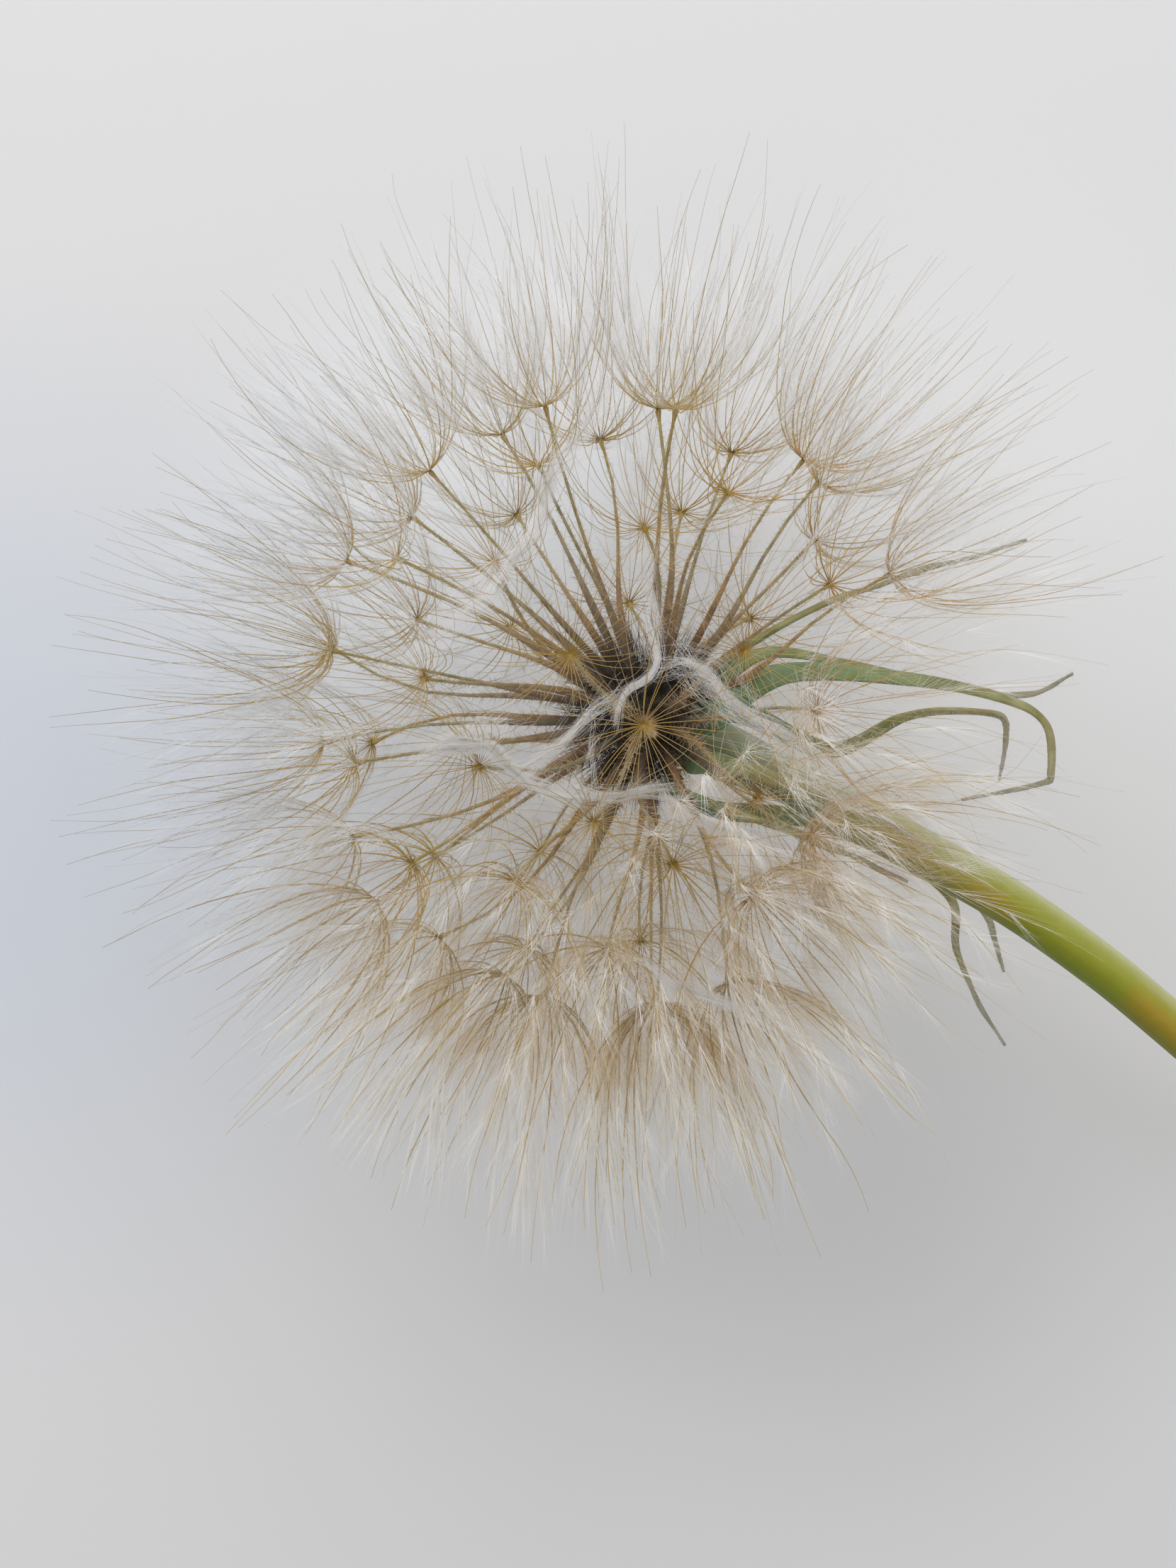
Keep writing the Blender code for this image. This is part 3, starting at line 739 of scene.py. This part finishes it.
def stem_route():
    """The stem's middle line, from inside the dome's underside to its cut end."""
    points = [HEAD_CENTRE - POLE * DOME_FLAT * 0.95, HEAD_CENTRE - POLE * (STEM_TOP + STEM_STRAIGHT)]
    points += [HEAD_CENTRE + Vector(point) * MM for point in STEM_ROUTE]
    return np.array(smooth_route(points, STEM_STEPS))


def build_stem(materials):
    """The stem, finely ridged, with a pale hollow at its cut end."""
    deselect()
    bpy.ops.mesh.primitive_cylinder_add(vertices=STEM_SIDES, radius=1, depth=1, location=(0, 0, 0.5))
    bpy.ops.object.mode_set(mode="EDIT")
    select_in_edit("edges", is_lengthwise)
    bpy.ops.mesh.subdivide(number_cuts=STEM_CUTS)
    select_in_edit("faces", lambda face: face.normal.z > 0.5)
    bpy.ops.mesh.inset(thickness=CUT_RIM)
    bpy.ops.mesh.inset(thickness=CUT_WALL)
    bpy.ops.transform.translate(value=(0, 0, -CUT_DEPTH))
    points, triangles, _ = taken_apart()
    route = stem_route()
    step = np.clip((points[:, 2] * (STEM_STEPS - 1)).astype(int), 0, STEM_STEPS - 1)
    run = np.linalg.norm(route[step] - route[0], axis=1)
    swell = np.clip(1 - run / FLARE_LENGTH, 0, 1) ** 2
    radius = STEM_RADIUS + (FLARE_RADIUS - STEM_RADIUS) * swell
    radius += (FOOT_RADIUS - STEM_RADIUS) * np.clip(run / FOOT_DISTANCE, 0, 1)
    angle = np.arctan2(points[:, 1], points[:, 0])
    radius *= 1 - RIDGE_DEPTH + RIDGE_DEPTH * np.cos(angle * STEM_RIDGES)
    # Across the stem: 0 on the flank with painted shade, 1 on the flank with the painted highlight
    flank = 0.5 + 0.5 * np.clip(points[:, 0], -1, 1)
    marks = np.stack([flank, points[:, 2]], axis=1)
    points[:, :2] *= radius[:, None]
    finished("stalk", bent((points, triangles, marks), route, SIDE), materials["stem"], ["stem"])


def bract_route(number):
    """A bract's middle line: out from under the dome, then along its own way beside the stem."""
    turn = BRACT_FIRST_TURN + number * 2 * math.pi / BRACTS
    out = ABOVE * math.cos(turn) + SIDE * math.sin(turn)
    ring = HEAD_CENTRE - POLE * BRACT_DEPTH
    points = [ring + out * BRACT_ROOT_OUT, ring + out * BRACT_BEND_OUT - POLE * BRACT_BEND_DROP]
    points += [HEAD_CENTRE + Vector(point) * MM for point in BRACT_ROUTES[number]]
    return np.array(smooth_route(points, BRACT_STEPS))


def bract_side(route):
    """The way across a bract at each step of its middle line."""
    from_axis = route - np.array(HEAD_CENTRE)
    from_axis -= (from_axis @ np.array(POLE))[:, None] * np.array(POLE)
    side = np.cross(np.gradient(route, axis=0), from_axis)
    return side / np.linalg.norm(side, axis=1, keepdims=True)


def straight_bract():
    """A bract along Z: a bar cut in many lengths and strips."""
    deselect()
    bpy.ops.mesh.primitive_cube_add(size=1, location=(0, 0, 0.5))
    bpy.ops.object.mode_set(mode="EDIT")
    select_in_edit("edges", is_lengthwise)
    bpy.ops.mesh.subdivide(number_cuts=BRACT_LENGTH_CUTS)
    select_in_edit("edges", lambda edge: abs(edge.verts[0].co.x - edge.verts[1].co.x) > 0.5)
    bpy.ops.mesh.subdivide(number_cuts=BRACT_STRIP_CUTS)
    return taken_apart()


def bract_step(along):
    """The step of a bract's middle line at each share of its length."""
    return np.clip((along * (BRACT_STEPS - 1)).astype(int), 0, BRACT_STEPS - 1)


def build_bracts(materials):
    """The bracts: keeled strips with raised veins, withered and hairy at their tips."""
    draws = np.random.default_rng(SEED_OF_DRAWS + 3)
    leaf, triangles, marks = straight_bract()
    along = marks[:, 0]
    widths = np.interp(along, [row[0] for row in BRACT_WIDTHS], [row[1] * MM for row in BRACT_WIDTHS])
    across = leaf[:, 0] * 2
    edge = np.sqrt(np.clip(1 - np.abs(across) ** 3, 0, 1))
    thick = BRACT_THICKNESS * (0.35 + 0.65 * edge) * np.interp(along, (0, 0.7, 1), (1, 1, 0.5))
    vein = VEIN_HEIGHT * np.cos(across * math.pi * 4) * (1 - along)
    withered = share_past(along, WITHERED_FROM, 1 - WITHERED_FROM)
    hair = straight_hair(1.0 * MM, BRACT_HAIR_RADIUS)
    hairs = []
    for number in range(BRACTS):
        points = leaf.copy()
        route = bract_route(number)
        side = bract_side(route)
        ragged = 1 + 0.28 * withered * np.sin(along * 61 + number * 2) * np.sin(along * 143 + number)
        curl = 0.5 * withered * np.sin(along * 31 + number)
        keel = (0.14 + curl) * widths * (1 - np.abs(across))
        points[:, 0] = across * widths * ragged / 2
        points[:, 1] = np.sign(points[:, 1]) * (thick + vein) - keel
        finished(f"leaf_{number + 1}", bent((points, triangles, marks), route, side[bract_step(along)]),
                 materials["bract"], [f"bract_{number + 1}"])
        own_hairs = []
        for _ in range(BRACT_HAIRS):
            share = draws.uniform(0.1, 1) ** 0.85
            size = draws.uniform(0.4, 1.5) * (1 + share) / 1.5
            turn = draws.uniform(0, 2 * math.pi)
            lift = draws.uniform(-0.3, 1.1)
            own_hairs.append(standing_hair(hair, share, BRACT_HAIR_SPAN, 0, size, turn, lift))
        shape = gathered(own_hairs)
        hairs.append(bent(shape, route, side[bract_step(shape[2][:, 0])]))
    finished("leaf_hairs", gathered(hairs), materials["torn_hair"],
             [f"bract_{number + 1}" for number in range(BRACTS)], smooth=False)


def new_material(name, colour_of, roughness, specular=0.5):
    """A material whose colour comes from a function of its tree."""
    material = bpy.data.materials.new(name)
    material.use_nodes = True
    tree = material.node_tree
    shader = tree.nodes["Principled BSDF"]
    shader.inputs["Roughness"].default_value = roughness
    shader.inputs["Specular IOR Level"].default_value = specular
    tree.links.new(colour_of(tree), shader.inputs["Base Color"])
    return material


def new_node(tree, kind, inputs, **settings):
    """A node with its settings, each of its inputs linked to another node's output or set to a constant."""
    node = tree.nodes.new(kind)
    for name, value in settings.items():
        setattr(node, name, value)
    for name, value in inputs.items():
        if isinstance(value, bpy.types.NodeSocket):
            tree.links.new(value, node.inputs[name])
        else:
            node.inputs[name].default_value = value
    return node.outputs


def object_place(tree):
    """The place of what is shaded, from the object's origin."""
    return new_node(tree, "ShaderNodeTexCoord", {})["Object"]


def noise_value(tree, scale, detail):
    """Soft patches of noise, smaller at a greater scale."""
    inputs = {"Vector": object_place(tree), "Scale": scale, "Detail": detail}
    return new_node(tree, "ShaderNodeTexNoise", inputs)["Fac"]


def spread_value(tree, value, low, high, start=0, end=1, kind="LINEAR"):
    """A value spread from a range to another one."""
    inputs = {"Value": value, "From Min": low, "From Max": high, "To Min": start, "To Max": end}
    return new_node(tree, "ShaderNodeMapRange", inputs, interpolation_type=kind)["Result"]


def mixed(tree, share, first, second, way="MIX"):
    """One colour turning into another, or multiplied by it, with a share."""
    inputs = {"Factor": share, "A": first, "B": second}
    return new_node(tree, "ShaderNodeMix", inputs, data_type="RGBA", blend_type=way)["Result"]


def mark_value(tree, mark):
    """A mark's value."""
    return new_node(tree, "ShaderNodeAttribute", {}, attribute_name=mark)["Fac"]


def mark_colours(tree, stops, mark="along"):
    """Colours at stops along a mark: along a bristle, seed or bract, across the stem, or by a part's tint."""
    ramp = tree.nodes.new("ShaderNodeValToRGB")
    elements = ramp.color_ramp.elements
    while len(elements) < len(stops):
        elements.new(0.5)
    for element, (place, *colour) in zip(elements, stops):
        element.position = place
        element.color = (*colour, 1)
    tree.links.new(mark_value(tree, mark), ramp.inputs["Fac"])
    return ramp.outputs["Color"]


def toward_share(tree, way, near, far, wander=0.8):
    """A value that grows from 0 to 1 in one direction from the head's centre, broken up with noise."""
    shifted = new_node(tree, "ShaderNodeMapping", {"Vector": object_place(tree), "Location": -HEAD_CENTRE})
    inputs = {0: shifted["Vector"], 1: Vector(way).normalized()}
    reached = new_node(tree, "ShaderNodeVectorMath", inputs, operation="DOT_PRODUCT")["Value"]
    inputs = {0: noise_value(tree, WANDER_SCALE, 0), 1: wander, 2: -wander / 2}
    blend = new_node(tree, "ShaderNodeMath", inputs, operation="MULTIPLY_ADD")["Value"]
    inputs = {0: spread_value(tree, reached, near, far), 1: blend}
    return new_node(tree, "ShaderNodeMath", inputs, operation="ADD", use_clamp=True)["Value"]


def noise_mix(tree, colour, scale, strength, dark=(0.5, 0.5, 0.5)):
    """A colour, darkened in soft patches of noise."""
    share = spread_value(tree, noise_value(tree, scale, 2), *PATCH_RANGE, end=strength)
    return mixed(tree, share, colour, (*dark, 1), "MULTIPLY")


def bristle_colour(tree):
    """Yellow at the hub and golden further out, or pale all along. Tips are white at the head's lower rim,
    where painted shade darkens the bristles' bases.
    """
    golden = mark_colours(tree, ((0.0, 0.56, 0.36, 0.07), (0.05, 0.60, 0.39, 0.06), (0.2, 0.60, 0.39, 0.06),
                                 (0.45, 0.54, 0.36, 0.08), (0.75, 0.50, 0.36, 0.14), (1.0, 0.46, 0.39, 0.27)))
    orange = mark_colours(tree, ((0.0, 0.52, 0.27, 0.04), (0.05, 0.60, 0.30, 0.04), (0.2, 0.64, 0.37, 0.06),
                                 (0.45, 0.66, 0.43, 0.10), (0.75, 0.64, 0.47, 0.19), (1.0, 0.56, 0.48, 0.35)))
    pale = mark_colours(tree, ((0.0, 0.84, 0.70, 0.30), (0.08, 0.68, 0.57, 0.34), (0.3, 0.76, 0.72, 0.62),
                               (0.6, 0.82, 0.81, 0.78), (1.0, 0.80, 0.80, 0.79)))
    # At the lower rim: bases darkened with painted shade of the cups, tips white
    low_golden_shaded_base = mark_colours(tree, ((0.0, 0.36, 0.27, 0.16), (0.1, 0.31, 0.20, 0.08),
                                     (0.3, 0.46, 0.29, 0.05), (0.6, 0.64, 0.42, 0.08),
                                     (1.0, 0.82, 0.66, 0.32)))
    low_pale_shaded_base = mark_colours(tree, ((0.0, 0.34, 0.28, 0.19), (0.12, 0.42, 0.35, 0.25),
                                   (0.35, 0.68, 0.61, 0.50), (0.55, 0.93, 0.91, 0.87),
                                   (0.75, 0.98, 0.98, 0.98)))
    warm = mixed(tree, toward_share(tree, (1, 0, 0), 4 * MM, 24 * MM), golden, orange)
    low = toward_share(tree, (0.1, -1, 0), 20 * MM, 34 * MM, 0.4)
    colour = mixed(tree, mark_value(tree, "tint"), mixed(tree, low, warm, low_golden_shaded_base),
                   mixed(tree, low, pale, low_pale_shaded_base))
    return noise_mix(tree, colour, 140, 0.5, (0.70, 0.65, 0.57))


def hair_colour(tree):
    """Side hair: white, with a cool painted shade at the left, and straw-coloured near the hubs at the lower
    right.
    """
    white = mark_colours(tree, ((0.05, 0.74, 0.70, 0.64), (0.2, 0.84, 0.82, 0.79), (0.4, 0.91, 0.91, 0.91),
                                (0.8, 0.96, 0.96, 0.97)))
    # Darker and blue-grey: painted cool shade at the left
    cool_shade = mark_colours(tree, ((0.05, 0.66, 0.64, 0.62), (0.2, 0.74, 0.76, 0.79), (0.5, 0.80, 0.84, 0.90)))
    white = mixed(tree, toward_share(tree, (-1, 0, 0), 20 * MM, 45 * MM), white, cool_shade)
    straw = mark_colours(tree, ((0.07, 0.44, 0.34, 0.21), (0.2, 0.61, 0.46, 0.28), (0.36, 0.79, 0.66, 0.47),
                                (0.5, 0.91, 0.88, 0.81), (0.64, 0.99, 0.99, 0.98)))
    return mixed(tree, toward_share(tree, (0.42, -0.91, 0), -4 * MM, 22 * MM), white, straw)


def two_tones(tree, first, second):
    """Two tones of hair, from one tint to the other, with darker patches."""
    both = mark_colours(tree, ((0.0, *first), (1.0, *second)), "tint")
    return noise_mix(tree, both, 300, 0.4, (0.85, 0.85, 0.87))


def torn_hair_colour(tree):
    """Felted strands and the bracts' hairs: grey-white."""
    return two_tones(tree, (0.78, 0.75, 0.71), (0.86, 0.86, 0.87))


def bunch_colour(tree):
    """Loose bunches: warm white."""
    return two_tones(tree, (0.93, 0.90, 0.82), (0.98, 0.97, 0.94))


def core_hair_colour(tree):
    """Dark grey-brown at its roots, lighter at its tips."""
    colour = mark_colours(tree, ((0.0, 0.045, 0.034, 0.027), (0.5, 0.10, 0.074, 0.056),
                                 (1.0, 0.28, 0.21, 0.155)))
    return noise_mix(tree, colour, 500, 0.5)


def seed_colour(tree):
    """Dark brown ribbed body, olive-brown beak and yellow-brown hub."""
    colour = mark_colours(tree, ((0.0, 0.06, 0.042, 0.03), (0.12, 0.13, 0.085, 0.055),
                                 (0.28, 0.34, 0.20, 0.095), (0.5, 0.46, 0.31, 0.14), (0.85, 0.50, 0.39, 0.18),
                                 (0.96, 0.48, 0.34, 0.10), (1.0, 0.46, 0.31, 0.07)))
    grey = mark_colours(tree, ((0.0, 0.06, 0.05, 0.04), (0.12, 0.12, 0.10, 0.08), (0.28, 0.26, 0.20, 0.13),
                               (0.5, 0.36, 0.31, 0.19), (0.85, 0.44, 0.40, 0.24), (0.96, 0.46, 0.36, 0.13),
                               (1.0, 0.46, 0.32, 0.08)))
    both = mixed(tree, mark_value(tree, "tint"), colour, grey)
    return noise_mix(tree, both, 900, 0.8)


def seed_hair_colour(tree):
    """Dark hair near the core, golden brown on the bodies and paler on the beaks."""
    brown = mark_colours(tree, ((0.0, 0.12, 0.085, 0.065), (0.16, 0.27, 0.18, 0.115),
                                (0.36, 0.62, 0.41, 0.22), (0.95, 0.62, 0.50, 0.30)))
    grey = mark_colours(tree, ((0.0, 0.12, 0.10, 0.08), (0.16, 0.25, 0.20, 0.15), (0.36, 0.54, 0.45, 0.32),
                               (0.95, 0.58, 0.53, 0.38)))
    return mixed(tree, mark_value(tree, "tint"), brown, grey)


def receptacle_colour(tree):
    """Near-black: painted shade of the deep core."""
    colour = mark_colours(tree, ((0.0, 0.05, 0.045, 0.03), (1.0, 0.04, 0.034, 0.026)))
    return noise_mix(tree, colour, 700, 0.8)


def stem_colour(tree):
    """Yellow-green skin with fine ridges: a painted highlight makes one flank pale, and painted shade darkens
    the other, olive and brown. Near the head a duller painted shade of the head.
    """
    # Dark to pale across the stem: painted shade on one flank, painted highlight on the other
    green = mark_colours(tree, ((0.0, 0.15, 0.20, 0.006), (0.25, 0.25, 0.27, 0.012), (0.5, 0.36, 0.38, 0.035),
                                (0.75, 0.44, 0.46, 0.105), (0.95, 0.61, 0.62, 0.32)))
    brown = mark_colours(tree, ((0.0, 0.17, 0.18, 0.006), (0.22, 0.34, 0.25, 0.012), (0.42, 0.46, 0.32, 0.03),
                                (0.62, 0.43, 0.40, 0.05), (0.95, 0.61, 0.62, 0.32)))
    colour = mixed(tree, spread_value(tree, noise_value(tree, 55, 2), 0.42, 0.60), green, brown)
    # Near the head, duller colours: painted shade of the head
    shaded = mark_colours(tree, ((0.0, 0.14, 0.17, 0.09), (0.5, 0.26, 0.30, 0.17), (1.0, 0.44, 0.46, 0.34)))
    head_shade_share = mark_colours(tree, ((0.12, 1, 1, 1), (0.3, 0, 0, 0)), "tint")
    colour = mixed(tree, head_shade_share, colour, shaded)
    return noise_mix(tree, colour, 700, 0.3, (0.8, 0.8, 0.6))


def bract_colour(tree):
    """Blue-green leaf, olive further out and grey-brown at the withered tips."""
    colour = mark_colours(tree, ((0.0, 0.10, 0.14, 0.07), (0.2, 0.17, 0.27, 0.14), (0.32, 0.25, 0.33, 0.15),
                                 (0.45, 0.34, 0.35, 0.15), (0.62, 0.42, 0.37, 0.18), (0.8, 0.42, 0.38, 0.25),
                                 (1.0, 0.46, 0.43, 0.38)))
    return noise_mix(tree, colour, 420, 0.9, (0.60, 0.60, 0.44))


def painted_light_and_shade_spot(tree, colour, place, radius, tone):
    """A colour, turning to another round one place of the floor: a spot of painted light and shade."""
    inputs = {0: object_place(tree), 1: place}
    away = new_node(tree, "ShaderNodeVectorMath", inputs, operation="DISTANCE")["Value"]
    return mixed(tree, spread_value(tree, away, 0, radius, 1, 0, "SMOOTHSTEP"), colour, (*tone, 1))


def floor_colour(tree):
    """Plain pale paper with painted light and shade: a cool painted shade at the left, painted light round
    the head and at the upper right, and a painted shadow below the head to the right.
    """
    colour = (*FLOOR_COLOUR, 1)
    for place, radius, tone in FLOOR_LIGHT_AND_SHADE:
        colour = painted_light_and_shade_spot(tree, colour, place, radius, tone)
    return colour


def build_floor():
    """A wide pale floor."""
    deselect()
    bpy.ops.mesh.primitive_plane_add(size=FLOOR_SIZE, location=(0, 0, -FLOOR_DROP))
    floor = bpy.context.object
    floor.name = "floor"
    floor.data.materials.append(new_material("Floor", floor_colour, 0.9, 0.1))


def build_lights():
    """One light that faces the head and isn't itself seen, and an even pale surround."""
    data = bpy.data.lights.new("key", "AREA")
    data.size = KEY_SIZE
    data.energy = KEY_POWER
    data.color = KEY_COLOUR
    light = bpy.data.objects.new("key", data)
    light.location = HEAD_CENTRE + KEY_OFFSET
    light.rotation_euler = KEY_OFFSET.to_track_quat("Z", "Y").to_euler()
    light.visible_camera = False
    bpy.context.scene.collection.objects.link(light)
    world = bpy.data.worlds.new("surround")
    bpy.context.scene.world = world
    world.use_nodes = True
    background = world.node_tree.nodes["Background"]
    background.inputs["Color"].default_value = SURROUND_COLOUR
    background.inputs["Strength"].default_value = SURROUND_STRENGTH
    bpy.context.scene.view_settings.view_transform = "Standard"


def build_camera():
    """A camera straight above, framed as the photograph is."""
    data = bpy.data.cameras.new("camera")
    data.sensor_fit = "AUTO"
    data.sensor_width = SENSOR_WIDTH
    data.lens = SENSOR_WIDTH * CAMERA_DISTANCE / (PHOTO_SIZE[1] * PHOTO_SCALE)
    data.clip_start = 0.01
    camera = bpy.data.objects.new("camera", data)
    camera.location = HEAD_CENTRE + Vector((PHOTO_ASIDE, -PHOTO_BELOW, CAMERA_DISTANCE))
    bpy.context.scene.collection.objects.link(camera)
    bpy.context.scene.camera = camera


def main():
    """Make the camera, the lights and every piece."""
    build_camera()
    build_lights()
    build_floor()
    materials = {
        "bristle": new_material("Bristle", bristle_colour, 0.4),
        "hair": new_material("Side hair", hair_colour, 0.6, 0),
        "torn_hair": new_material("Torn hair", torn_hair_colour, 0.6),
        "bunch": new_material("White hair", bunch_colour, 0.6),
        "core_hair": new_material("Core hair", core_hair_colour, 0.75, 0.1),
        "seed": new_material("Seed", seed_colour, 0.75),
        "seed_hair": new_material("Seed hair", seed_hair_colour, 0.7, 0.15),
        "receptacle": new_material("Receptacle", receptacle_colour, 0.8),
        "stem": new_material("Stem", stem_colour, 0.42, 0.25),
        "bract": new_material("Bract", bract_colour, 0.65, 0.3),
    }
    draws = np.random.default_rng(SEED_OF_DRAWS)
    directions = hub_directions()
    reach = HUB_DISTANCE + HUB_JITTER * draws.uniform(-1, 1, SEEDS)
    hubs = np.array(HEAD_CENTRE) + directions * reach[:, None]
    build_parachutes(hubs, directions, materials)
    build_seeds(hubs, materials)
    build_core_hairs(materials)
    build_strands(materials)
    build_dome(materials)
    build_stem(materials)
    build_bracts(materials)


main()
